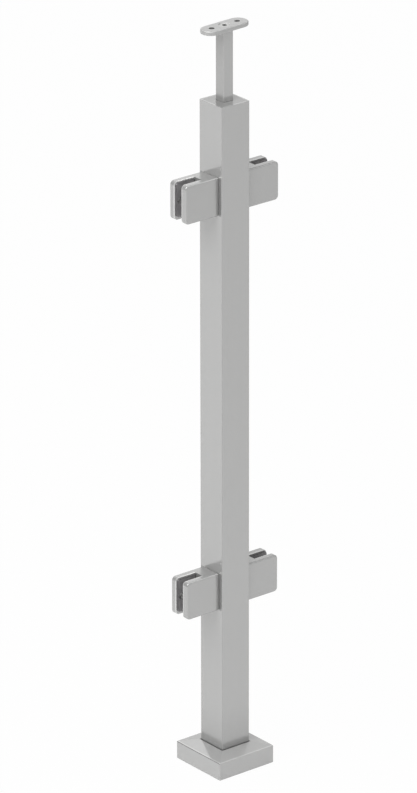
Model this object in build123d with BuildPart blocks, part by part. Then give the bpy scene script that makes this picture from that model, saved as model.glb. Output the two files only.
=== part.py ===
"""Square railing post with four glass clamps, a handrail saddle and a sliding foot cover.

The origin lies on the floor in the middle of the post. +Z runs up the post, +X runs along
the glass, and the clamp jaws that come off face +Y. All sizes are in millimetres.
"""

import os
from math import sqrt

from build123d import *

# ---- Post tube
post_width = 40.0
post_wall = 2.0
post_corner = 1.0
bore_corner = 0.6
post_top = 816.0

# ---- Anchor flange under the foot cover
flange_thickness = 8.0
flange_corner = 4.0
flange_gap = 1.5
anchor_edge = 9.5
anchor_hole = 9.0
weld_leg = 3.0
weld_land = 0.3

# ---- Foot cover, a folded box with a shallow hipped top
cover_width = 80.0
cover_side_height = 21.5
cover_rise = 4.2
cover_wall = 1.5
cover_gap = 0.9
cover_corner = 0.7

# ---- Cap of the post and the square stem that stands in it
cap_thickness = 6.0
cap_recess = 1.5
stem_width = 14.0
stem_corner = 0.8
stem_gap = 0.4
stem_reach = 83.5
stem_thread_depth = 14.0

# ---- Saddle plate for the handrail
saddle_length = 64.2
saddle_width = 23.8
saddle_thickness = 5.0
saddle_edge = 1.2
saddle_turn = 3.0
rail_screw_spacing = 38.0
rail_screw_hole = 6.4

# ---- Glass clamps
clamp_length = 47.1
clamp_height = 46.0
clamp_corner = 5.0
clamp_edge = 1.8
rear_jaw_edge = 1.2
clamp_heel_edge = 1.2
jaw_thickness = 8.1
slot_width = 12.2
slot_depth = 28.6
slot_floor_corner = 1.5
slot_lip = 0.6
lower_clamp_height = 224.7
upper_clamp_height = 708.7

# ---- Rubber pads in the clamps
pad_thickness = 2.0
pad_inset = 1.3
pad_foot_inset = 3.8
pad_floor_gap = 0.2
pad_edge = 0.4
pad_hole = 9.0
pin_socket = 6.0
pin_socket_depth = 4.0
pin_distance = 7.4

# ---- Screws, as radii of shank and head, head height, key width and key depth
fixing_screw_length = 25.0
fixing_head_sink = 6.4
m6_shank = 3.0
m6_head = 5.0
m6_head_height = 6.0
m6_key = 5.0
m6_key_depth = 3.0
m6_sunk_head = 6.5
m6_sunk_key = 4.0
m6_sunk_key_depth = 2.4
saddle_screw_length = 16.0
stem_screw_length = 14.0
m5_shank = 2.5
m5_sunk_head = 5.4
m5_sunk_key = 3.0
m5_sunk_key_depth = 2.0
jaw_screw_length = 15.0
jaw_screw_spacing = 26.0
sunk_head_drop = 0.5
head_gap = 0.4
thread_gap = 0.05
shank_gap = 0.3
tip_gap = 1.5

# ---- Rivet nuts in the post wall
nut_flange = 5.6
nut_flange_thickness = 1.2
nut_body = 4.5
nut_bulge = 5.6
nut_bulge_width = 3.0
nut_length = 13.0
nut_gap = 0.3

# ---- Places that follow from the sizes above
post_face = post_width / 2
post_bore = post_width - 2 * post_wall
flange_width = cover_width - 2 * (cover_wall + flange_gap)
anchor_spacing = flange_width - 2 * anchor_edge
cover_hole = post_width + 2 * cover_gap
cover_slope = cover_rise / ((cover_width - cover_hole) / 2)
cover_sheet_drop = cover_wall * sqrt(1 + cover_slope**2)
stem_foot = post_top - cap_recess
stem_top = post_top + stem_reach
saddle_top = stem_top + saddle_thickness
jaw_inner = slot_width / 2
jaw_outer = jaw_inner + jaw_thickness
heel_depth = clamp_length - slot_depth
slot_floor = post_face + heel_depth
clamp_end = post_face + clamp_length
pin_x = clamp_end - pin_distance
jaw_screw_x = post_face + heel_depth / 2
nut_recess = nut_flange_thickness + nut_gap

# ---- Round cuts along X through a clamp's heel: where each starts, its radius and its depth
heel_bores = (
    (slot_floor, m6_head + head_gap, fixing_head_sink),
    (slot_floor, m6_shank + shank_gap, heel_depth),
    (post_face + nut_recess, nut_flange + nut_gap, nut_recess),
)


def save(piece, name):
    """Name a finished piece and write it as its own file."""
    piece.label = name
    export_step(piece, f"parts/{name}.step")


os.makedirs("parts", exist_ok=True)


# Anchor flange: a square plate with four bolt holes and the weld bead round the post's foot.
with BuildPart() as base_flange:
    with BuildSketch(Plane.XY):
        RectangleRounded(flange_width, flange_width, flange_corner)
        with GridLocations(anchor_spacing, anchor_spacing, 2, 2):
            Circle(anchor_hole / 2, mode=Mode.SUBTRACT)
    extrude(amount=flange_thickness)
    bead_width = post_width + 2 * (weld_leg + weld_land)
    bead_corner = post_corner + weld_leg + weld_land
    with BuildSketch(Plane.XY.offset(flange_thickness)):
        RectangleRounded(bead_width, bead_width, bead_corner)
    extrude(amount=weld_leg, taper=45)
    with BuildSketch(Plane.XY.offset(flange_thickness)):
        RectangleRounded(post_width, post_width, post_corner)
    extrude(amount=weld_leg, mode=Mode.SUBTRACT)
save(base_flange.part, "base_flange")


# Post tube: square hollow section with a round hole in the wall behind each clamp.
with BuildPart() as post_tube:
    with BuildSketch(Plane.XY.offset(flange_thickness)):
        RectangleRounded(post_width, post_width, post_corner)
        RectangleRounded(post_bore, post_bore, bore_corner, mode=Mode.SUBTRACT)
    extrude(amount=post_top - flange_thickness)
    with BuildSketch(Plane.YZ):
        with Locations((0, lower_clamp_height), (0, upper_clamp_height)):
            Circle(nut_body + thread_gap)
    extrude(amount=post_width, both=True, mode=Mode.SUBTRACT)
save(post_tube.part, "post_tube")


# Top cap: a plate that fills the bore, flush with the tube, with a square seat for the stem.
with BuildPart() as top_cap:
    with BuildSketch(Plane.XY.offset(post_top - cap_thickness)):
        RectangleRounded(post_bore, post_bore, bore_corner)
        Circle(m6_shank + shank_gap, mode=Mode.SUBTRACT)
    extrude(amount=cap_thickness)
    seat_width = stem_width + 2 * stem_gap
    with BuildSketch(Plane.XY.offset(stem_foot)):
        RectangleRounded(seat_width, seat_width, stem_corner + stem_gap)
    extrude(amount=cap_recess, mode=Mode.SUBTRACT)
save(top_cap.part, "top_cap")


# Stem: solid square bar with a tapped hole in each end.
with BuildPart() as stem:
    with BuildSketch(Plane.XY.offset(stem_foot)):
        RectangleRounded(stem_width, stem_width, stem_corner)
    extrude(amount=stem_top - stem_foot)
    with BuildSketch(Plane.XY.offset(stem_foot)):
        Circle(m6_shank + thread_gap)
    extrude(amount=stem_thread_depth, mode=Mode.SUBTRACT)
    with BuildSketch(Plane.XY.offset(stem_top)):
        Circle(m6_shank + thread_gap)
    extrude(amount=-stem_thread_depth, mode=Mode.SUBTRACT)
save(stem.part, "stem")


# Stem screw: holds the stem down from inside the post, with its head under the cap.
with BuildPart() as stem_screw:
    cap_underside = Plane.XY.offset(post_top - cap_thickness)
    with BuildSketch(cap_underside):
        Circle(m6_head)
    extrude(amount=-m6_head_height)
    chamfer(stem_screw.faces().sort_by(Axis.Z)[0].edges(), head_gap)
    with BuildSketch(cap_underside):
        Circle(m6_shank)
    extrude(amount=stem_screw_length)
    with BuildSketch(cap_underside.offset(-m6_head_height)):
        RegularPolygon(m6_key / 2, 6, major_radius=False)
    extrude(amount=m6_key_depth, mode=Mode.SUBTRACT)
save(stem_screw.part, "stem_screw")


# Saddle plate: flat bar with round ends, two rail screw holes and a countersunk middle hole.
with BuildPart() as saddle_plate:
    with BuildSketch(Plane.XY.offset(stem_top).rotated((0, 0, saddle_turn))):
        SlotOverall(saddle_length, saddle_width)
        with GridLocations(rail_screw_spacing, 1, 2, 1):
            Circle(rail_screw_hole / 2, mode=Mode.SUBTRACT)
    extrude(amount=saddle_thickness)
    rims = saddle_plate.faces().filter_by(Axis.Z)
    fillet(rims[0].outer_wire().edges() + rims[1].outer_wire().edges(), saddle_edge)
    with Locations((0, 0, saddle_top)):
        CounterSinkHole(m6_shank + shank_gap, m6_sunk_head, counter_sink_angle=90)
save(saddle_plate.part, "saddle_plate")


# Saddle screw: countersunk, flush in the plate and screwed into the top of the stem.
with BuildPart() as saddle_screw:
    with BuildSketch(Plane.XZ):
        with BuildLine():
            Polyline(
                (0, saddle_top - sunk_head_drop),
                (m6_sunk_head - sunk_head_drop, saddle_top - sunk_head_drop),
                (m6_shank, saddle_top - (m6_sunk_head - m6_shank)),
                (m6_shank, saddle_top - saddle_screw_length),
                (0, saddle_top - saddle_screw_length),
                close=True,
            )
        make_face()
    revolve(axis=Axis.Z)
    with BuildSketch(Plane.XY.offset(saddle_top - sunk_head_drop)):
        RegularPolygon(m6_sunk_key / 2, 6, major_radius=False)
    extrude(amount=-m6_sunk_key_depth, mode=Mode.SUBTRACT)
save(saddle_screw.part, "saddle_screw")


# Foot cover: sheet box, open below, whose hipped top rises to a square hole round the post.
with BuildPart() as base_cover:
    with BuildSketch(Plane.XY):
        Rectangle(cover_width, cover_width)
    extrude(amount=cover_side_height)
    with BuildSketch(Plane.XY.offset(cover_side_height)):
        Rectangle(cover_width, cover_width)
    with BuildSketch(Plane.XY.offset(cover_side_height + cover_rise)):
        Rectangle(cover_hole, cover_hole)
    loft()
    folds = base_cover.edges().group_by(Axis.Z)[2]
    fillet(base_cover.edges().filter_by(Axis.Z) + folds, cover_corner)
    inner_width = cover_width - 2 * cover_wall
    inner_side = cover_side_height + cover_wall * cover_slope - cover_sheet_drop
    with BuildSketch(Plane.XY):
        Rectangle(inner_width, inner_width)
    extrude(amount=inner_side, mode=Mode.SUBTRACT)
    with BuildSketch(Plane.XY.offset(inner_side)):
        Rectangle(inner_width, inner_width)
    with BuildSketch(Plane.XY.offset(cover_side_height + cover_rise - cover_sheet_drop)):
        Rectangle(cover_hole, cover_hole)
    loft(mode=Mode.SUBTRACT)
    with BuildSketch(Plane.XY):
        RectangleRounded(cover_hole, cover_hole, post_corner + cover_gap)
    extrude(amount=cover_side_height + cover_rise, mode=Mode.SUBTRACT)
save(base_cover.part, "base_cover")


def build_clamp(place, side, height):
    """Make one glass clamp; side is -1 for the left of the post and +1 for the right."""
    free_end = -1 if side > 0 else 0
    heel_end = 0 if side > 0 else -1
    middle_x = side * (post_face + clamp_length / 2)
    heel_x = side * (post_face + heel_depth / 2)
    pad_start = slot_floor + slot_floor_corner + pad_floor_gap
    pad_length = clamp_end - pad_inset - pad_start
    pad_x = side * (pad_start + pad_length / 2)
    pad_height = clamp_height - pad_inset - pad_foot_inset
    pad_middle = height + (pad_foot_inset - pad_inset) / 2
    axis_planes = {
        "face": Plane.YZ.offset(side * post_face),
        "bore": Plane.YZ.offset(side * (post_face - post_wall)),
        "seat": Plane.YZ.offset(side * (slot_floor - fixing_head_sink)),
        "key": Plane.YZ.offset(side * (slot_floor - fixing_head_sink + m6_head_height)),
    }
    screw_planes = [
        Plane((side * jaw_screw_x, jaw_outer, height + rise), z_dir=(0, 1, 0))
        for rise in (-jaw_screw_spacing / 2, jaw_screw_spacing / 2)
    ]

    # Body: the fixed front jaw and the heel that is screwed against the post.
    with BuildPart() as clamp_body:
        with BuildSketch(Plane.XZ.offset(jaw_inner)) as jaw_outline:
            with Locations((middle_x, height)):
                Rectangle(clamp_length, clamp_height)
            fillet(jaw_outline.vertices().group_by(Axis.X)[free_end], clamp_corner)
        extrude(amount=jaw_thickness)
        chamfer(clamp_body.faces().sort_by(Axis.Y)[-1].edges(), slot_lip)
        with BuildSketch(Plane.XZ.offset(jaw_inner + slot_lip)):
            with Locations((heel_x, height)):
                Rectangle(heel_depth, clamp_height)
        extrude(amount=-slot_width - slot_lip)
        corner = (side * slot_floor, -jaw_inner, height)
        upright_edges = clamp_body.edges().filter_by(Axis.Z)
        fillet(upright_edges.sort_by_distance(corner)[0], slot_floor_corner)
        front = clamp_body.faces().sort_by(Axis.Y)[0]
        fillet(front.edges().filter_by(Axis.Z).sort_by(Axis.X)[heel_end], clamp_heel_edge)
        front = clamp_body.faces().sort_by(Axis.Y)[0]
        heel_line = front.edges().filter_by(Axis.Z).sort_by(Axis.X)[heel_end]
        fillet([edge for edge in front.edges() if edge != heel_line], clamp_edge)
        for start, radius, depth in heel_bores:
            with BuildSketch(Plane.YZ.offset(side * start)):
                with Locations((0, height)):
                    Circle(radius)
            extrude(amount=-side * depth, mode=Mode.SUBTRACT)
        with BuildSketch(*[plane.offset(-jaw_thickness) for plane in screw_planes]):
            Circle(m5_shank + thread_gap)
        extrude(amount=jaw_thickness - jaw_screw_length - tip_gap, mode=Mode.SUBTRACT)
        with BuildSketch(Plane.XZ.offset(jaw_inner)):
            with Locations((side * pin_x, height)):
                Circle(pin_socket / 2)
        extrude(amount=pin_socket_depth, mode=Mode.SUBTRACT)
    save(clamp_body.part, f"{place}_clamp_body")

    # Rear jaw: the loose plate on the far side, seated flat on the heel.
    with BuildPart() as rear_jaw:
        with BuildSketch(Plane.XZ.offset(-jaw_outer)) as jaw_outline:
            with Locations((middle_x, height)):
                Rectangle(clamp_length, clamp_height)
            fillet(jaw_outline.vertices().group_by(Axis.X)[free_end], clamp_corner)
        extrude(amount=jaw_thickness)
        chamfer(rear_jaw.faces().sort_by(Axis.Y)[0].edges(), slot_lip)
        with BuildSketch(Plane.XZ.offset(-jaw_inner)):
            with Locations((heel_x, height)):
                Rectangle(heel_depth, clamp_height)
        extrude(amount=-slot_lip)
        back = rear_jaw.faces().sort_by(Axis.Y)[-1]
        fillet(back.edges().filter_by(Axis.Z).sort_by(Axis.X)[heel_end], clamp_heel_edge)
        back = rear_jaw.faces().sort_by(Axis.Y)[-1]
        heel_line = back.edges().filter_by(Axis.Z).sort_by(Axis.X)[heel_end]
        fillet([edge for edge in back.edges() if edge != heel_line], rear_jaw_edge)
        for start, radius, depth in heel_bores:
            with BuildSketch(Plane.YZ.offset(side * start)):
                with Locations((0, height)):
                    Circle(radius)
            extrude(amount=-side * depth, mode=Mode.SUBTRACT)
        with Locations(*screw_planes):
            CounterSinkHole(m5_shank + shank_gap, m5_sunk_head, counter_sink_angle=90)
        with BuildSketch(Plane.XZ.offset(-jaw_inner)):
            with Locations((side * pin_x, height)):
                Circle(pin_socket / 2)
        extrude(amount=-pin_socket_depth, mode=Mode.SUBTRACT)
    save(rear_jaw.part, f"{place}_rear_jaw")

    # Jaw screws: two countersunk screws through the rear jaw into the heel.
    with BuildPart() as jaw_screws:
        head_planes = [plane.offset(-sunk_head_drop) for plane in screw_planes]
        with BuildSketch(*head_planes):
            Circle(m5_sunk_head - sunk_head_drop)
        extrude(amount=-(m5_sunk_head - sunk_head_drop - m5_shank), taper=45)
        with BuildSketch(*head_planes):
            Circle(m5_shank)
        extrude(amount=-jaw_screw_length + sunk_head_drop)
        with BuildSketch(*head_planes):
            RegularPolygon(m5_sunk_key / 2, 6, major_radius=False)
        extrude(amount=-m5_sunk_key_depth, mode=Mode.SUBTRACT)
    save(jaw_screws.part, f"{place}_jaw_screws")

    # Pads: rubber plates on both jaws with a round hole over the pin socket.
    for name, start, bare_face in (
        ("front_pad", jaw_inner - pad_thickness, -1),
        ("rear_pad", -jaw_inner, 0),
    ):
        with BuildPart() as pad:
            with BuildSketch(Plane.XZ.offset(start)) as pad_outline:
                with Locations((pad_x, pad_middle)):
                    Rectangle(pad_length, pad_height)
                fillet(
                    pad_outline.vertices().group_by(Axis.X)[free_end],
                    clamp_corner - pad_inset,
                )
                with Locations((side * pin_x, height)):
                    Circle(pad_hole / 2, mode=Mode.SUBTRACT)
            extrude(amount=pad_thickness)
            bare = pad.faces().sort_by(Axis.Y)[bare_face]
            chamfer(bare.outer_wire().edges(), pad_edge)
        save(pad.part, f"{place}_{name}")

    # Fixing screw: sunk in the slot floor, it runs through the heel into the post.
    with BuildPart() as fixing_screw:
        with BuildSketch(axis_planes["seat"]):
            with Locations((0, height)):
                Circle(m6_head)
        extrude(amount=side * m6_head_height)
        with BuildSketch(axis_planes["seat"]):
            with Locations((0, height)):
                Circle(m6_shank)
        extrude(amount=-side * fixing_screw_length)
        with BuildSketch(axis_planes["key"]):
            with Locations((0, height)):
                RegularPolygon(m6_key / 2, 6, major_radius=False)
        extrude(amount=-side * m6_key_depth, mode=Mode.SUBTRACT)
    save(fixing_screw.part, f"{place}_fixing_screw")

    # Rivet nut: its flange lies on the post wall and its bulge grips the wall from inside.
    with BuildPart() as rivet_nut:
        with BuildSketch(axis_planes["face"]):
            with Locations((0, height)):
                Circle(nut_flange)
        extrude(amount=side * nut_flange_thickness)
        with BuildSketch(axis_planes["face"]):
            with Locations((0, height)):
                Circle(nut_body)
        extrude(amount=-side * nut_length)
        with BuildSketch(axis_planes["bore"]):
            with Locations((0, height)):
                Circle(nut_bulge)
        extrude(amount=-side * nut_bulge_width)
        with BuildSketch(axis_planes["face"].offset(side * nut_flange_thickness)):
            with Locations((0, height)):
                Circle(m6_shank + thread_gap)
        extrude(amount=-side * (nut_flange_thickness + nut_length), mode=Mode.SUBTRACT)
    save(rivet_nut.part, f"{place}_rivet_nut")


for level, height in (("upper", upper_clamp_height), ("lower", lower_clamp_height)):
    for hand, side in (("left", -1), ("right", 1)):
        build_clamp(f"{level}_{hand}", side, height)
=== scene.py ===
# %% [markdown]
# # A railing post in satin stainless steel
# The post stands on a foot cover, holds glass in four clamps and carries a handrail on a
# small saddle plate. The solids come from the packed model as a fixed frame, and this
# lesson gives them their finish: brushed steel, ground steel, rubber, screw threads and
# a weld bead. Everything is in metres, with the origin on the floor under the post. Z runs
# up the post, X runs along the glass, and the loose jaws of the clamps face +Y.

from math import cos, pi, radians, sin

import bpy
import numpy as np
from mathutils import Matrix, Vector


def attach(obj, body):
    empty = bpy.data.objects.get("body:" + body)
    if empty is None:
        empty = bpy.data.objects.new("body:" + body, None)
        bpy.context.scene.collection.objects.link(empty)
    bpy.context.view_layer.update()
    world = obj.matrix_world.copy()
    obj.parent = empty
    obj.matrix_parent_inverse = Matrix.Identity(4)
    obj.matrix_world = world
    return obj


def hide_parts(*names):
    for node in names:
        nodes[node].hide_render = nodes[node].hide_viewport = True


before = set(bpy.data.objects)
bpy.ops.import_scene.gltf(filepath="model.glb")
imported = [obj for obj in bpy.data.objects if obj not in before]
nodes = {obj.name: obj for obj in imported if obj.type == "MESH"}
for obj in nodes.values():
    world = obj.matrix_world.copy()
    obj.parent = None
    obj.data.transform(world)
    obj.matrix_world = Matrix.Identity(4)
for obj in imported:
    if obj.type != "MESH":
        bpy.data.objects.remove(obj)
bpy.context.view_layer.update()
print("pieces in the frame:", len(nodes))

# %% [markdown]
# ## Where the edges are
# Painted light and shade sit at edges, corners and gaps, so a finish has to know where the
# edges lie. They could be measured on each mesh, but the post is simple enough to name its
# few lengths once. The same names then serve several finishes and the pieces that are drawn
# further on.

# %% Lengths of the post
TUBE_HALF, TUBE_CORNER, FLANGE_TOP = 0.0200, 0.0010, 0.0080
UPPER, LOWER = 0.7087, 0.2247
BETWEEN, APART = (UPPER + LOWER) / 2, (UPPER - LOWER) / 2
CLAMP_HALF, CLAMP_FACE = 0.0230, 0.0142
SLOT_FLOOR, SLOT_HALF = 0.0385, 0.0061
PIN_OUT, PIN_RADIUS, PIN_DEPTH = 0.0597, 0.0030, 0.0040
PAD_END, PAD_TOP = 0.0658, 0.0217
COVER_HALF, COVER_FOLD, COVER_HOLE = 0.0400, 0.0215, 0.0209
PLACES = {
    "upper_left": (-1, UPPER),
    "upper_right": (1, UPPER),
    "lower_left": (-1, LOWER),
    "lower_right": (1, LOWER),
}
print("the clamps' middles are above the floor by", LOWER, "and", UPPER)

# %% [markdown]
# ## Writing a finish as sums
# A finish is a network of shader nodes. It could be wired by hand, node after node, but
# that is hard to read. Here a small class wraps one output socket and lets plus, minus,
# times and abs place the Math nodes, so a finish reads like a sum.

# %% Sockets that can be added and multiplied


class Value:
    """One number at each point of a surface, held by an output socket."""

    def __init__(self, finish, socket):
        self.finish = finish
        self.socket = socket

    def math(self, operation, other=0.0, swapped=False):
        """Put a Math node on this value and another; swapped puts this one second."""
        pair = (other, self) if swapped else (self, other)
        settings = {"operation": operation}
        return self.finish.add("ShaderNodeMath", settings, {0: pair[0], 1: pair[1]})

    def __add__(self, other):
        return self.math("ADD", other)

    def __radd__(self, other):
        return self.math("ADD", other, swapped=True)

    def __sub__(self, other):
        return self.math("SUBTRACT", other)

    def __rsub__(self, other):
        return self.math("SUBTRACT", other, swapped=True)

    def __mul__(self, other):
        return self.math("MULTIPLY", other)

    def __rmul__(self, other):
        return self.math("MULTIPLY", other, swapped=True)

    def __abs__(self):
        return self.math("ABSOLUTE")


def reach(first, second):
    """How far a point is from an axis: the root of its two offsets squared and added."""
    return (first * first + second * second).math("SQRT")


print("values can be added, taken away, multiplied and made positive")

# %% [markdown]
# ## One method for every other node
# Noise, ranges and colours need more than sums. A second class holds the network of one
# material, or of the world, and places any node the same way: its type first, then its
# settings, then what goes into its sockets. The short methods after it are the few nodes
# that steel and rubber need.

# %% A network of nodes


class Finish:
    """The nodes of a new material or world, with one output at their end."""

    def __init__(self, owner, output="ShaderNodeOutputMaterial"):
        self.owner = owner
        self.owner.use_nodes = True
        self.tree = owner.node_tree
        self.tree.nodes.clear()
        self.output = self.tree.nodes.new(output)

    def add(self, kind, settings=None, inputs=None, output=0):
        """Place a node: its settings first, then a number or a link for each socket."""
        node = self.tree.nodes.new(kind)
        for key, value in (settings or {}).items():
            setattr(node, key, value)
        for key, value in (inputs or {}).items():
            if isinstance(value, Value):
                self.tree.links.new(value.socket, node.inputs[key])
            else:
                node.inputs[key].default_value = value
        return Value(self, node.outputs[output])

    def place(self, scale=(1.0, 1.0, 1.0)):
        """The point on the piece, in metres, stretched by scale."""
        point = self.add("ShaderNodeTexCoord", output="Object")
        return self.add("ShaderNodeMapping", inputs={"Vector": point, "Scale": scale})

    def axes(self):
        """The same point as three numbers, x, y and z."""
        point = self.add("ShaderNodeTexCoord", output="Object")
        split = self.add("ShaderNodeSeparateXYZ", inputs={0: point})
        return [Value(self, socket) for socket in split.socket.node.outputs]

    def rays(self):
        """1 or 0 for a ray from the camera, from a mirroring surface and through glass."""
        path = self.add("ShaderNodeLightPath").socket.node.outputs
        names = ("Is Camera Ray", "Is Glossy Ray", "Is Transmission Ray")
        return [Value(self, path[name]) for name in names]

    def noise(self, where, scale, detail, roughness):
        """Cloudy noise from 0 to 1; scale is in cells for each metre."""
        inputs = {"Vector": where, "Scale": scale, "Detail": detail, "Roughness": roughness}
        return self.add("ShaderNodeTexNoise", {"noise_dimensions": "3D"}, inputs)

    def span(self, value, low, high, to_low=0.0, to_high=1.0):
        """Carry the range low to high over to another range, with soft ends."""
        inputs = {0: value, 1: low, 2: high, 3: to_low, 4: to_high}
        return self.add("ShaderNodeMapRange", {"interpolation_type": "SMOOTHSTEP"}, inputs)

    def up_to(self, value, full, none, peak=1.0):
        """peak where value is at most full, falling to 0 where it reaches none."""
        return self.span(value, full, none, peak, 0.0)

    def blend(self, amount, first, second):
        """Mix two colours."""
        settings = {"data_type": "RGBA", "clamp_factor": True}
        return self.add("ShaderNodeMix", settings, {0: amount, 6: first, 7: second}, output=2)

    def bump(self, height, distance, strength):
        """Turn a height from 0 to 1 into a tilt of the surface; distance is in metres."""
        inputs = {"Height": height, "Distance": distance, "Strength": strength}
        return self.add("ShaderNodeBump", inputs=inputs)

    def close(self, **inputs):
        """End a material with a Principled shader that gets these inputs."""
        named = {key.replace("_", " "): value for key, value in inputs.items()}
        return self.end(self.add("ShaderNodeBsdfPrincipled", inputs=named, output="BSDF"))

    def end(self, shader):
        """Join the last shader to the output and hand back the material or world."""
        self.tree.links.new(shader.socket, self.output.inputs["Surface"])
        return self.owner


def shades(tone, low, high):
    """A grey times low and times high, as two colours."""
    return [tuple(channel * share for channel in tone) + (1.0,) for share in (low, high)]


print("a network has", len([name for name in vars(Finish) if name[0] != "_"]), "methods")

# %% [markdown]
# ## Satin steel
# Satin stainless is ground with a fine belt that leaves scratches all one way: up the post,
# along the stem, across the foot cover. The scratches are far finer than a millimetre, so
# they show as a soft sheen and a faint streak. They could be drawn as lines, but noise that
# is squeezed hard across the grain and drawn out along it never repeats. It feeds the
# colour, the roughness and the bump. Two slower noises add the cloudy tone of real sheet
# and a few handling marks. Half metal, half plain grey keeps the steel pale in soft light.

# %% The brushed finish
METAL = 0.5
STREAKS, HAIRS, ALONG_GRAIN = 1800.0, 6500.0, 0.008
SCRATCH_DEPTH, SCRATCH_STRENGTH = 0.00001, 0.35


def brushed_steel(name, grain, tone, rough, painted_light=None, lift=-0.07, cloud=0.024, metal=METAL):
    """Steel brushed along grain, 0 to 2 for X to Z.

    The colour runs from 0.4 to 1.6 times the tone as its level runs from 0 to 1. The level
    is 0.5 plus small shares of the streaks and clouds, plus lift times what painted_light
    returns. painted_light is an optional function of the finish that paints light or shade
    into the colour where it is not 0, and shifts the roughness a little with it. Streaks
    have 1800 cells a metre across the grain and 14 along it.
    """
    steel = Finish(bpy.data.materials.new(name))
    squeeze = [1.0, 1.0, 1.0]
    squeeze[grain] = ALONG_GRAIN
    across = steel.place(squeeze)
    streak = steel.noise(across, STREAKS, 3.0, 0.6)
    hair = steel.noise(across, HAIRS, 1.0, 0.5)
    wide = steel.place()
    cloudy = steel.noise(wide, 9.0, 4.0, 0.55)
    marks = steel.span(steel.noise(wide, 60.0, 3.0, 0.6), 0.62, 0.78)
    dark, light = shades(tone, 0.40, 1.60)
    level = 0.5 + (streak - 0.5) * 0.04 + (cloudy - 0.5) * cloud
    roughness = rough + (streak - 0.5) * 0.10 + (cloudy - 0.5) * 0.08 + marks * 0.04
    # painted light and shade go into the colour here, and shift the roughness a little
    if painted_light is not None:
        painted = painted_light(steel)
        level = level + painted * lift
        roughness = roughness + painted * 0.03
    return steel.close(
        Base_Color=steel.blend(level, dark, light),
        Metallic=metal,
        Roughness=roughness,
        Normal=steel.bump(streak * 0.7 + hair * 0.3, SCRATCH_DEPTH, SCRATCH_STRENGTH),
    )


print("cells in a metre across and along the grain:", STREAKS, STREAKS * ALONG_GRAIN)

# %% [markdown]
# ## Painted shade on the tube
# The photograph shows the rounded uprights duller than the flats, a dark strip beside each
# clamp, a dark line at the rim of the foot cover and a darker foot above it. That is
# reflection and shade, which the lamps here give only in part, so the colour paints it:
# painted shade on the uprights, which the same mask also makes a little rougher, in the
# corner beside each clamp and at the rim of the cover, and painted shade that darkens the
# tube towards the foot. They could be image masks, but a few ranges of x, y and z say the
# same, stay sharp at any size and need no picture.

# %% The finish of the post
RIM_LINE = 0.0254


def post_painted_shade(steel):
    """How much painted shade the tube gets, where 1 is the shade on an upright.

    1 on the uprights, where |x| plus |y| nears the full width; up to 4.6 on the painted
    shade in the corner beside each clamp; 7 on the painted shade line at the rim of the foot
    cover. The largest of them counts, and painted shade adds up to 1.2 toward the foot.
    """
    x, y, z = steel.axes()
    # painted shade on the rounded uprights
    upright = steel.span(abs(x) + abs(y), 2 * TUBE_HALF - 0.0011, 2 * TUBE_HALF - 0.0008)
    rise = abs(abs(z - BETWEEN) - APART)
    # painted shade in the corner between each clamp and the side of the tube
    side = steel.span(abs(x), TUBE_HALF - 0.0004, TUBE_HALF - 0.0001)
    side = side * steel.up_to(rise, CLAMP_HALF - 0.0008, CLAMP_HALF + 0.0002, 4.6)
    beside = steel.span(abs(y), CLAMP_FACE - 0.0002, CLAMP_FACE + 0.0002)
    beside = beside * steel.up_to(abs(y), CLAMP_FACE + 0.0028, CLAMP_FACE + 0.0063)
    # painted shade: a dark line at the rim of the foot cover
    rim_shade = steel.up_to(abs(z - RIM_LINE), 0.0005, 0.0007, 7.0)
    # painted shade: the tube darker towards the foot
    foot_shade = steel.up_to(z, 0.030, 0.085, 1.2)
    return upright.math("MAXIMUM", side * beside).math("MAXIMUM", rim_shade) + foot_shade


# post_satin paints the shade of the function above into its colour
post_finish = brushed_steel("post_satin", 2, (0.59, 0.59, 0.585), 0.14, post_painted_shade)
print("nodes in the finish of the post:", len(post_finish.node_tree.nodes))

# %% [markdown]
# ## Folds of the foot cover
# The cover is one folded sheet. The photograph shows pale lips above its two front folds,
# a dark line under the left one and a dark gap round the post. They are reflections in the
# bends and shade in the gap, too narrow for the lamps here, so the colour paints them where
# the photograph has them: painted highlights on the lips, a painted reflection under the
# left fold and painted shade round the post. They are thinner than the bend itself, so
# they are told by place instead of by how much the surface bends.

# %% The finish of the cover


def cover_painted_light(steel):
    """1 on the painted dark lines, and down to -0.6 on the painted highlights above the front
    folds.

    A line is a short range of x beside the fold and of z below it. A lip is a narrow band
    of x or y just inside the outer side, and only on the sloping top.
    """
    x, y, z = steel.axes()
    # painted reflection: a dark line under the left fold
    low = steel.up_to(x, -COVER_HALF, 0.0003 - COVER_HALF)
    low = low * steel.span(z, COVER_FOLD - 0.0011, COVER_FOLD - 0.0009)
    # painted shade: the dark gap round the post
    rim = steel.up_to(abs(x).math("MAXIMUM", abs(y)), COVER_HOLE + 0.0003, COVER_HOLE + 0.0005)
    # painted highlights: pale lips above the two front folds
    left = steel.up_to(abs(x + COVER_HALF - 0.0010), 0.0005, 0.0007, 0.6)
    right = steel.up_to(abs(y + COVER_HALF - 0.0008), 0.0006, 0.0008, 0.6)
    lips = left.math("MAXIMUM", right)
    lips = lips * steel.span(z, COVER_FOLD - 0.0003, COVER_FOLD - 0.0002)
    return low + rim - lips


COVER_TONE = (0.615, 0.615, 0.61)
# cover_satin paints these reflections, highlights and shade into its colour
cover_finish = brushed_steel(
    "cover_satin", 0, COVER_TONE, 0.12, cover_painted_light, lift=-0.4, metal=0.35
)
print("nodes in the finish of the cover:", len(cover_finish.node_tree.nodes))

# %% [markdown]
# ## Stem, cap and flange
# The stem is brushed upright like the post. In the photograph its two kinds of side look
# nearly the same, though the lamps here favour the left one, so the colour paints light on
# its front and back and a little shade on its left and right. The cap is brushed across,
# in a darker tone than the other steel that paints the shade of the stem and plate over it.
# The flange under the foot cover is plain plate that nobody polishes, so it is rougher and
# cloudier. All three are the same function with other numbers.

# %% Three more brushed finishes


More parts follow.
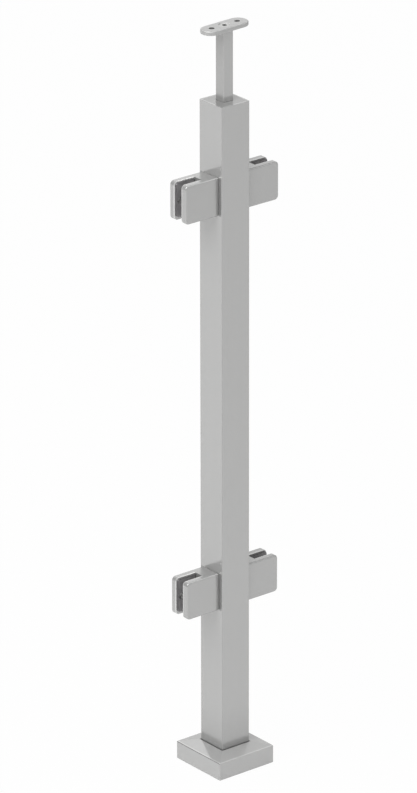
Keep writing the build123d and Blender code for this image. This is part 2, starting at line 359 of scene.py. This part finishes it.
def stem_painted_light(steel):
    """1 on the left and right sides of the stem, painted a little darker, and -1.5 on its front
    and back, painted paler.

    A point is on the left or right side where |x| is more than |y|.
    """
    x, y, _ = steel.axes()
    return steel.span(abs(x) - abs(y), -0.0002, 0.0002, -1.5, 1.0)


STEM_TONE = (0.555, 0.555, 0.55)
# painted light on the front and back of the stem, painted shade on its sides
stem_finish = brushed_steel("stem_satin", 2, STEM_TONE, 0.18, stem_painted_light, lift=-0.035)
# the cap's darker tone is painted shade from the stem and plate over it
cap_finish = brushed_steel("cap_shaded_satin", 0, (0.43, 0.43, 0.425), 0.12, metal=0.35)
flange_finish = brushed_steel("flange_plain", 0, (0.42, 0.42, 0.41), 0.38, cloud=0.08)
for finish in (stem_finish, cap_finish, flange_finish):
    print(finish.name, "has", len(finish.node_tree.nodes), "nodes")

# %% [markdown]
# ## The saddle plate
# Two holes for the rail screws and a countersink in the middle go through this plate. Seen
# from above they are dark, because little light gets into them, while the soft lamps here
# reach further in. So the colour paints shade on the walls of the holes, and on the left
# rim of the countersink, where the photograph shows a crescent.

# %% The finish of the saddle plate
SADDLE_TURN, RAIL_HOLE_OUT = radians(3), 0.0190
RAIL_HOLE_RADIUS, SINK_RADIUS = 0.0032, 0.0065
CRESCENT_X, CRESCENT_Y = 0.78, -0.63


def plate_painted_shade(steel):
    """1 inside the two rail screw holes and on the left rim of the countersink, where shade is
    painted.

    The plate is turned by 3 degrees, so x and y are turned back to lie along and across
    it. A point is in a hole where its reach from the hole's axis is below the radius.
    """
    x, y, _ = steel.axes()
    along = x * cos(SADDLE_TURN) + y * sin(SADDLE_TURN)
    across = y * cos(SADDLE_TURN) - x * sin(SADDLE_TURN)
    hole = reach(abs(along) - RAIL_HOLE_OUT, across)
    # painted shade inside the rail screw holes
    holes = steel.up_to(hole, RAIL_HOLE_RADIUS + 0.00002, RAIL_HOLE_RADIUS + 0.0001)
    # painted shade on the left rim of the countersink
    rim = steel.up_to(reach(x, y), SINK_RADIUS - 0.0001, SINK_RADIUS)
    left = steel.up_to(x * CRESCENT_X + y * CRESCENT_Y, -0.0054, -0.0044)
    return holes.math("MAXIMUM", rim * left)


SADDLE_TONE = (0.62, 0.62, 0.615)
# saddle_satin paints the shade of the holes into its colour
saddle_finish = brushed_steel(
    "saddle_satin", 0, SADDLE_TONE, 0.45, plate_painted_shade, lift=-6.0, cloud=0.016, metal=0.4
)
print("nodes in the finish of the saddle plate:", len(saddle_finish.node_tree.nodes))

# %% [markdown]
# ## Ground castings
# The clamps are cast and then ground smooth, so their skin has no clear direction. Brushed
# steel would look wrong on their rounded edges. A fine even noise stands for the grinding
# and a coarser one for the slight waviness that a casting keeps. The same finish with finer
# grain suits machined screws.

# %% The ground finish


def ground_steel(name, tone, rough, grain=2600.0, painted_light=None, lift=0.28):
    """Steel with an even fine grain: a noise for the skin and one for its waviness.

    The colour runs from black to 1.6 times the tone as its level runs from 0 to 1. The
    level is 0.625, which is the tone itself, plus small shares of both noises, plus lift
    times what painted_light returns. painted_light is an optional function of the finish,
    1 where it paints light or shade. grain is in cells for each metre.
    """
    steel = Finish(bpy.data.materials.new(name))
    where = steel.place()
    skin = steel.noise(where, grain, 3.0, 0.6)
    wave = steel.noise(where, 45.0, 3.0, 0.5)
    marks = steel.span(steel.noise(where, 220.0, 3.0, 0.6), 0.60, 0.75)
    black, light = shades(tone, 0.0, 1.60)
    level = 0.625 + (skin - 0.5) * 0.04 + (wave - 0.5) * 0.03
    # painted light and shade go into the colour here
    if painted_light is not None:
        level = level + painted_light(steel) * lift
    return steel.close(
        Base_Color=steel.blend(level, black, light),
        Metallic=METAL,
        Roughness=rough + (skin - 0.5) * 0.06 + (wave - 0.5) * 0.04 + marks * 0.03,
        Normal=steel.bump(skin * 0.8 + wave * 0.2, SCRATCH_DEPTH, SCRATCH_STRENGTH),
    )


print("depth of the bump in micrometres:", round(SCRATCH_DEPTH * 1e6, 1))

# %% [markdown]
# ## The mouth of the glass slot
# In the photograph the small slanted lips of each slot are bright and the pin sockets
# catch light at their floor, so the colour paints a highlight on the lips and light in the
# sockets. They are only a few millimetres wide, and all four clamps share them. They could
# be pieces of their own with another material, but one function of the distance from the
# slot and from the clamp's middle draws them on every clamp at once.

# %% The finish of the clamps


def slot_painted_light(steel):
    """1 on the painted highlight on the lips of the glass slot and 1.3 on the painted light in
    the pin sockets.

    The lips lie past the slot's floor, start at its side and end under 2 mm further out.
    A socket is a circle round the pin's axis and no deeper than the pin.
    """
    x, y, z = steel.axes()
    # painted highlight on the slanted lips of the slot
    lips = steel.span(abs(x), SLOT_FLOOR + 0.0002, SLOT_FLOOR + 0.0007)
    lips = lips * steel.span(abs(y), SLOT_HALF + 0.00002, SLOT_HALF + 0.00015)
    lips = lips * steel.up_to(abs(y), SLOT_HALF + 0.0013, SLOT_HALF + 0.0019)
    # painted light in the pin sockets
    pin = reach(abs(x) - PIN_OUT, abs(z - BETWEEN) - APART)
    socket = steel.up_to(pin, PIN_RADIUS + 0.0001, PIN_RADIUS + 0.0003)
    deepest = SLOT_HALF + PIN_DEPTH
    socket = socket * steel.up_to(abs(y), deepest + 0.0001, deepest + 0.0003)
    return lips.math("MAXIMUM", socket * 1.3)


# clamp_ground paints these highlights and this light into its colour
clamp_finish = ground_steel("clamp_ground", (0.575, 0.575, 0.57), 0.22, painted_light=slot_painted_light)
print("nodes in the finish of the clamps:", len(clamp_finish.node_tree.nodes))

# %% [markdown]
# ## Screws and nuts
# Screws are turned, so their grain is finer than that of a casting. The saddle screw is
# the only one that shows from the front. The photograph shows its socket dark with shade,
# so the colour paints that shade into the socket and a narrow ring round its mouth. The
# rivet nuts are plated, a little warmer and duller.

# %% The finishes of screws and nuts
TURNED_GRAIN = 4000.0


def socket_painted_shade(steel):
    """1 within 2.6 mm of the saddle screw's axis, where shade is painted; its socket walls are
    2 mm from it.
    """
    x, y, _ = steel.axes()
    return steel.up_to(reach(x, y), 0.0026, 0.0029)


SADDLE_SCREW_TONE = (0.62, 0.62, 0.61)
screw_finish = ground_steel("screw_steel", (0.48, 0.475, 0.46), 0.22, TURNED_GRAIN)
# painted shade in the socket of the saddle screw
saddle_screw_finish = ground_steel(
    "saddle_screw_steel", SADDLE_SCREW_TONE, 0.18, TURNED_GRAIN, socket_painted_shade, -0.6
)
nut_finish = ground_steel("nut_steel", (0.50, 0.49, 0.46), 0.30, TURNED_GRAIN)
for finish in (screw_finish, saddle_screw_finish, nut_finish):
    print(finish.name, "has", len(finish.node_tree.nodes), "nodes")

# %% [markdown]
# ## Rubber pads
# The pads are moulded rubber, a dull grey with a paler dusty bloom, and darker at the rim
# in the photograph, where the colour paints the shade of the gap between pad and jaw. Rubber
# scatters light instead of mirroring it, so it gets no metal, a high roughness and a
# pebbled bump. Noise gives the bloom its patches, and the painted shade at the rim is told
# by its place on the clamp.

# %% The rubber finish
PEBBLE_DEPTH = 0.00004


def pad_rubber():
    """Grey rubber with a fine pebble, a paler bloom in patches and painted shade at its rim.

    The rim is the outer end, where |x| nears the pad's end, and the top edge, where the
    height above the middle of its own clamp nears the pad's top.
    """
    rubber = Finish(bpy.data.materials.new("pad_rubber"))
    where = rubber.place()
    pebble = rubber.noise(where, 1500.0, 2.0, 0.5)
    bloom = rubber.span(rubber.noise(where, 90.0, 4.0, 0.6), 0.40, 0.70)
    colour = rubber.blend(bloom, (0.33, 0.322, 0.328, 1.0), (0.42, 0.412, 0.416, 1.0))
    x, _, z = rubber.axes()
    above = z - LOWER - rubber.span(z, BETWEEN - 0.005, BETWEEN + 0.005) * (2 * APART)
    # painted shade at the rim of the pad, in its gap with the jaw
    end = rubber.span(abs(x), PAD_END - 0.0008, PAD_END - 0.0002)
    rim = end.math("MAXIMUM", rubber.span(above, PAD_TOP - 0.0012, PAD_TOP - 0.0004))
    return rubber.close(
        Base_Color=rubber.blend(rim, colour, (0.16, 0.155, 0.158, 1.0)),
        Roughness=0.55 + bloom * 0.2,
        Normal=rubber.bump(pebble, PEBBLE_DEPTH, 0.5),
    )


rubber_finish = pad_rubber()
print("nodes in the finish of the pads:", len(rubber_finish.node_tree.nodes))

# %% [markdown]
# ## Dressing the solids
# A solid from the frame keeps its mesh and its place.
# Only its material slot changes. Two tables say which finish each node gets: one for the
# single nodes, and one for the nodes that every clamp has.

# %% Hand each node its finish


def dress(node, finish):
    """Give one CAD node a finish through its own material slot."""
    mesh = nodes[node].data
    if not mesh.materials:
        mesh.materials.append(finish)
    for index in range(len(mesh.materials)):
        mesh.materials[index] = finish


for node, finish in {
    "post_tube": post_finish,
    "top_cap": cap_finish,
    "stem": stem_finish,
    "saddle_plate": saddle_finish,
    "base_cover": cover_finish,
    "base_flange": flange_finish,
    "stem_screw": screw_finish,
    "saddle_screw": saddle_screw_finish,
}.items():
    dress(node, finish)
for place in PLACES:
    for part, finish in {
        "clamp_body": clamp_finish,
        "rear_jaw": clamp_finish,
        "jaw_screws": screw_finish,
        "fixing_screw": screw_finish,
        "rivet_nut": nut_finish,
        "front_pad": rubber_finish,
        "rear_pad": rubber_finish,
    }.items():
        dress(f"{place}_{part}", finish)
print("dressed nodes:", len(nodes))

# %% [markdown]
# ## Surfaces made of rings
# The weld bead and the threaded screws are too fine for the solids, so they are drawn here
# as rings of points laid next to each other. They could be built with modifiers, but plain
# formulas say exactly where each point is, and numpy works out a whole surface at once.

# %% From rings to a piece
SHARP_ANGLE = radians(38)


def ring_piece(name, rings, finish, closed_ends):
    """Make a piece from a list of surfaces[row, column, xyz], each row a ring of points.

    Each quad joins two neighbours in one ring to the same two in the next ring. With
    closed_ends a point in the middle of the first and of the last ring shuts the surface.
    All the surfaces become one mesh.
    """
    points, faces, start = [], [], 0
    for part in rings:
        rows, columns = part.shape[:2]
        here = np.arange(rows * columns).reshape(rows, columns) + start
        beside = np.roll(here, -1, axis=1)
        quads = np.stack([here[:-1], beside[:-1], beside[1:], here[1:]], axis=-1)
        faces += quads.reshape(-1, 4).tolist()
        points.append(part.reshape(-1, 3))
        start += rows * columns
        if closed_ends:
            first = np.full(columns, start)
            faces += np.stack([beside[0], here[0], first], axis=-1).tolist()
            faces += np.stack([here[-1], beside[-1], first + 1], axis=-1).tolist()
            points.append(np.stack([part[0].mean(axis=0), part[-1].mean(axis=0)]))
            start += 2
    mesh = bpy.data.meshes.new(name)
    mesh.from_pydata(np.concatenate(points).tolist(), [], faces)
    mesh.shade_smooth()
    mesh.set_sharp_from_angle(angle=SHARP_ANGLE)
    mesh.materials.append(finish)
    piece = bpy.data.objects.new(name, mesh)
    bpy.context.scene.collection.objects.link(piece)
    print(name, "has", len(mesh.polygons), "faces")
    return piece


# %% [markdown]
# ## The way round the foot
# The weld follows the outline of the tube. That outline could be traced from the solid, but
# a square with rounded corners is four copies of one side and one arc, each turned by a
# quarter, so only the first is worked out.

# %% The outline of the tube


def tube_outline(steps_on_side, steps_on_corner):
    """Points and outward directions round the tube, anticlockwise seen from above.

    A point of the arc is the corner's centre plus the radius times the cosine and sine of
    its angle. The other three quarters are copies turned by a matrix.
    """
    inner = TUBE_HALF - TUBE_CORNER
    along = np.linspace(-inner, inner, steps_on_side, endpoint=False)
    side = np.stack([np.full_like(along, TUBE_HALF), along], axis=-1)
    turn = np.linspace(0, pi / 2, steps_on_corner, endpoint=False)
    out = np.stack([np.cos(turn), np.sin(turn)], axis=-1)
    corner = inner + TUBE_CORNER * out
    points = np.concatenate([side, corner])
    normals = np.concatenate([np.tile([1.0, 0.0], (steps_on_side, 1)), out])
    turns = [np.array([[cos(a), sin(a)], [-sin(a), cos(a)]]) for a in np.arange(4) * pi / 2]
    return (
        np.concatenate([points @ matrix for matrix in turns]),
        np.concatenate([normals @ matrix for matrix in turns]),
    )


points, normals = tube_outline(190, 14)
print("points round the tube:", len(points))

# %% [markdown]
# ## The weld bead
# Under the foot cover the tube is welded to the flange. A hand weld has a rippled skin: a
# row of small crescents, each one where the bead froze. A bump would do from afar, but the
# cover lifts and shows the bead up close, so the ripples are in the mesh. The section is a
# quarter round, raised and lowered a little along the way.

# %% Draw the weld bead
BEAD_SIZE, RIPPLE_PITCH, RIPPLE_HEIGHT = 0.0034, 0.0017, 0.00022
SLOW_HEIGHT, BEAD_SINK = 0.00012, 0.0001


def weld_bead(points, normals):
    """A quarter round swept round the tube, with crescent ripples.

    At the angle a of the section the bead stands out by size times cos a and up by size
    times sin a. The size is the bead size plus a ripple, the absolute sine of the way
    along the bead, shifted ahead in the middle of the section, and a slow wave.
    """
    gaps = np.linalg.norm(np.roll(points, -1, axis=0) - points, axis=1)
    way = np.cumsum(gaps)
    ripples = round(way[-1] / RIPPLE_PITCH)
    section = np.radians(np.linspace(-4, 94, 13))[:, None]
    ahead = 0.45 * np.sin(np.clip(section, 0, pi / 2) * 2)
    wave = np.abs(np.sin(pi * (way[None, :] * ripples / way[-1] - ahead)))
    slow = SLOW_HEIGHT * np.sin(2 * pi * 5 * way / way[-1] + 0.6)
    size = BEAD_SIZE + RIPPLE_HEIGHT * (wave - 0.4) + slow[None, :]
    out = size * np.cos(section) - BEAD_SINK
    rise = FLANGE_TOP + size * np.sin(section) - BEAD_SINK
    flat = points[None] + normals[None] * out[..., None]
    return np.concatenate([flat, rise[..., None]], axis=-1)


bead_finish = ground_steel("weld_steel", (0.40, 0.39, 0.37), 0.30, 1500.0)
bead = ring_piece("weld_bead", [weld_bead(points, normals)], bead_finish, closed_ends=False)
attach(bead, "post")

# %% [markdown]
# ## A screw thread
# Two countersunk screws hold each rear jaw, driven in from the far side. Their thread shows
# when the jaw is backed off. A thread could be swept along a helix, but a ring whose radius
# depends on angle and height gives one closed skin: rings run from the tip over the thread
# and the cone, across the head and down into the hexagonal socket.

# %% The shape of a threaded screw
SCREW_X, SCREW_RISE, HEAD_FACE, SCREW_TIP = 0.02925, 0.0130, 0.0137, -0.0008
PITCH, MAJOR, MINOR = 0.0008, 0.0025, 0.00203
HEAD, SOCKET, SOCKET_DEPTH = 0.0049, 0.0015, 0.0020
AROUND = 48


def threaded_screw(x, z):
    """Rings of one countersunk screw along +Y, the tip first and the socket last.

    The thread's radius is a clipped triangle wave of height over pitch minus angle over a
    full turn. The socket's radius is the half width over the cosine of the angle from the
    middle of the nearest flat.
    """
    angle = np.arange(AROUND) * 2 * pi / AROUND
    cone_foot = HEAD_FACE - (HEAD - MAJOR)
    height = np.arange(SCREW_TIP + 0.0004, cone_foot - 0.0002, PITCH / 10)
    phase = (height[:, None] / PITCH - angle[None, :] / (2 * pi)) % 1.0
    crest = np.clip(2.6 * np.abs(phase - 0.5) - 0.15, 0.0, 1.0)
    taper = MINOR - 0.0003 + 0.8 * (height[:, None] - SCREW_TIP)
    thread = np.minimum(MAJOR - (MAJOR - MINOR) * crest, taper)
    flat = (angle % (pi / 3)) - pi / 6
    hexagon = SOCKET / np.cos(flat)
    plain = np.ones(AROUND)
    below = [(SCREW_TIP, (MINOR - 0.0003) * plain)]
    above = [
        (cone_foot, MAJOR * plain),
        (HEAD_FACE - 0.0002, (HEAD - 0.0002) * plain),
        (HEAD_FACE - 0.0001, (HEAD - 0.00002) * plain),
        (HEAD_FACE - 0.00002, (HEAD - 0.0001) * plain),
        (HEAD_FACE, (HEAD - 0.0003) * plain),
        (HEAD_FACE, hexagon * 1.10),
        (HEAD_FACE - 0.0002, hexagon),
        (HEAD_FACE - SOCKET_DEPTH, hexagon),
        (HEAD_FACE - SOCKET_DEPTH - 0.0004, hexagon * 0.3),
    ]
    rise = np.concatenate([[h for h, _ in below], height, [h for h, _ in above]])
    radius = np.vstack([[r for _, r in below], thread, [r for _, r in above]])
    across = x + radius * np.sin(angle)
    up = z + radius * np.cos(angle)
    return np.stack([across, np.broadcast_to(rise[:, None], radius.shape), up], axis=-1)


print("rings in one screw:", len(threaded_screw(SCREW_X, LOWER)))

# %% [markdown]
# ## The jaw screws in place
# The packed model has each pair of screws as one plain node. The drawn pair takes its
# place, rides with the same jaw and keeps the same material slot, so the plain node can
# stay for collisions and still not show.

# %% Put the screws into the jaws
for place, (side, middle) in PLACES.items():
    pair = [threaded_screw(side * SCREW_X, middle + step) for step in (-SCREW_RISE, SCREW_RISE)]
    screws = ring_piece(f"{place}_threaded_screws", pair, screw_finish, closed_ends=True)
    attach(screws, f"{place}_jaw")
    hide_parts(f"{place}_jaw_screws")

# %% [markdown]
# ## The camera
# The camera was fitted to the photograph: it stands a good seven metres away with a long
# lens, so upright edges stay nearly parallel. It could be turned by hand until it looks
# right, but its axes come more exactly from an azimuth, an elevation and a small roll, put
# into its matrix as columns.

# %% Place the camera
IMAGE_HEIGHT = 793
AZIMUTH, ELEVATION, ROLL = radians(-38.762), radians(22.313), radians(-0.112)
DISTANCE, FOCAL_PIXELS = 7.16009, 6290.62
AIM_ACROSS, AIM_UP = -0.018451, 0.457819
SENSOR = 36.0

back = Vector((sin(AZIMUTH) * cos(ELEVATION), -cos(AZIMUTH) * cos(ELEVATION), sin(ELEVATION)))
right = Vector((cos(AZIMUTH), sin(AZIMUTH), 0.0))
up = back.cross(right)
spot = right * AIM_ACROSS + Vector((0.0, 0.0, AIM_UP)) + back * DISTANCE
side_axis = right * cos(ROLL) + up * sin(ROLL)
up_axis = up * cos(ROLL) - right * sin(ROLL)
turn = Matrix((side_axis, up_axis, back)).transposed().to_4x4()

camera = bpy.data.objects.new("camera", bpy.data.cameras.new("camera"))
camera.data.sensor_width = SENSOR
camera.data.lens = FOCAL_PIXELS * SENSOR / IMAGE_HEIGHT
camera.matrix_world = Matrix.Translation(spot) @ turn
bpy.context.scene.collection.objects.link(camera)
bpy.context.scene.camera = camera
print("lens in mm:", round(camera.data.lens, 1))

# %% [markdown]
# ## The floor
# The photograph shows the post cut out on white. More light would make a floor white but
# would bleach the steel too. So the floor is pale chalk that lights the steel from below
# and takes its shadow, and Light Path lets the camera see nearly plain white in its place.
# A mirroring surface sees about half of each, a little darker than what the camera sees.

# %% Lay the floor
FLOOR_SIZE = 14.0
CHALK, WHITE = (0.90, 0.90, 0.90, 1.0), (1.0, 1.0, 1.0, 1.0)
MIRRORED_SHARE, PLAIN_SHARE = 0.5, 0.97


def white_floor():
    """Chalk mixed with plain white, by how the ray that meets it was sent."""
    floor = Finish(bpy.data.materials.new("floor_white"))
    seen, mirrored, through = floor.rays()
    seen = seen.math("MAXIMUM", mirrored * MIRRORED_SHARE).math("MAXIMUM", through)
    chalk = floor.add("ShaderNodeBsdfDiffuse", inputs={"Color": CHALK})
    plain = floor.add("ShaderNodeEmission", inputs={"Color": WHITE})
    shares = {0: seen * PLAIN_SHARE, 1: chalk, 2: plain}
    return floor.end(floor.add("ShaderNodeMixShader", inputs=shares))


half = FLOOR_SIZE / 2
corners = [(-half, -half, 0), (half, -half, 0), (half, half, 0), (-half, half, 0)]
floor_mesh = bpy.data.meshes.new("floor")
floor_mesh.from_pydata(corners, [], [(0, 1, 2, 3)])
floor_mesh.materials.append(white_floor())
floor = bpy.data.objects.new("floor", floor_mesh)
bpy.context.scene.collection.objects.link(floor)
print("floor in metres:", FLOOR_SIZE, "by", FLOOR_SIZE)

# %% [markdown]
# ## The world
# The world is the even grey light of a studio's walls. It could be one plain strength, but
# the camera has to see white behind the post while the steel gets far less. Light Path
# tells the rays apart: 1 for what is seen, a third of that for mirrors, less for the rest.

# %% Light the world
WORLD_DIFFUSE, WORLD_MIRRORED = 0.22, 0.30

sky = Finish(bpy.data.worlds.new("studio"), "ShaderNodeOutputWorld")
seen, mirrored, through = sky.rays()
unseen = sky.span(mirrored, 0.0, 1.0, WORLD_DIFFUSE, WORLD_MIRRORED)
strength = sky.span(seen.math("MAXIMUM", through), 0.0, 1.0, unseen, 1.0)
white = sky.add("ShaderNodeBackground", inputs={"Color": WHITE, "Strength": strength})
bpy.context.scene.world = sky.end(white)
print("world strength for plain and for mirrored rays:", WORLD_DIFFUSE, WORLD_MIRRORED)

# %% [markdown]
# ## The lamps
# Satin steel shows its lamps as broad soft patches, so the lamps are large squares, as in a
# studio. A big softbox on the left makes the narrow side of the post the paler one, a panel
# overhead fills the tops, two panels behind are mirrored in the cover's slopes, and a weak
# one in front keeps the wide side from going dull.

# %% Place the lamps


def softbox(name, place, aim_up, size, watts):
    """A square lamp at place that faces the post at a height; watts is its whole output."""
    lamp = bpy.data.lights.new(name, "AREA")
    lamp.shape = "SQUARE"
    lamp.size = size
    lamp.energy = watts
    lamp_object = bpy.data.objects.new(name, lamp)
    aim = Vector((0.0, 0.0, aim_up)) - Vector(place)
    turn = aim.to_track_quat("-Z", "Y").to_matrix().to_4x4()
    lamp_object.matrix_world = Matrix.Translation(place) @ turn
    bpy.context.scene.collection.objects.link(lamp_object)
    return lamp_object


lamps = [
    softbox("left_softbox", (-2.6, -0.7, 3.65), 0.45, 3.0, 92.0),
    softbox("top_panel", (-0.6, 0.3, 4.6), 0.45, 5.0, 60.0),
    softbox("back_panel", (2.2, 2.9, 1.7), 0.5, 3.4, 15.0),
    softbox("rear_panel", (0.85, 3.4, 2.2), 0.5, 3.4, 10.0),
    softbox("front_panel", (2.4, -2.4, 2.7), 0.5, 3.4, 18.0),
]
print("lamps:", len(lamps), "with watts", [lamp.data.energy for lamp in lamps])

# %% Finish
bpy.context.scene.view_settings.view_transform = "Standard"
